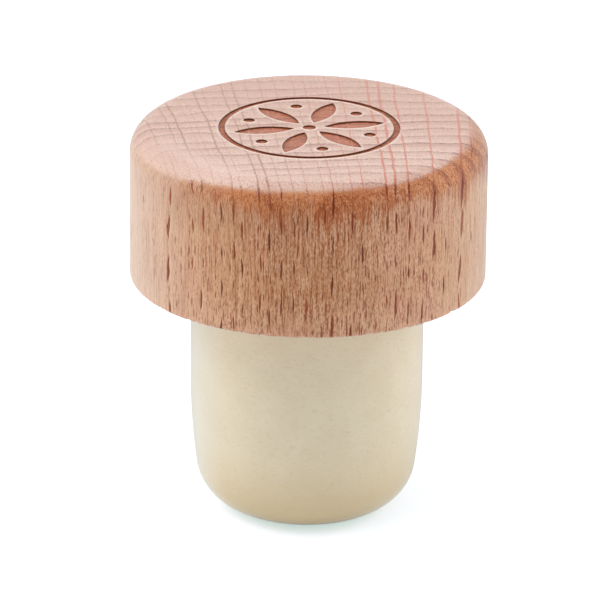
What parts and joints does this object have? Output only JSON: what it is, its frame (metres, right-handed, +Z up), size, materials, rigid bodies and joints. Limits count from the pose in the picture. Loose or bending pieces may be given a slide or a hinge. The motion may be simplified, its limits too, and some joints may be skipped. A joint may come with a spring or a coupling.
{
  "type": "bottle stopper",
  "caption": "Bar-top bottle stopper: a turned beech head with an engraved rosette, glued onto a smooth cream plug that seals the bottle's neck.",
  "frame": {"origin": "centre of the plug's flat end, which the stopper stands on", "axes": "+Z up the stopper's axis, from the plug's end to the head's top; the part is round about Z"},
  "size_m": [0.03, 0.03, 0.0336],
  "materials": {
    "beech": "fine sanded, open grain, satin",
    "plug": "matte moulded foam"
  },
  "bodies": {
    "root": {"wood_head": "beech", "stopper_plug": "plug"}
  },
  "joints": []
}
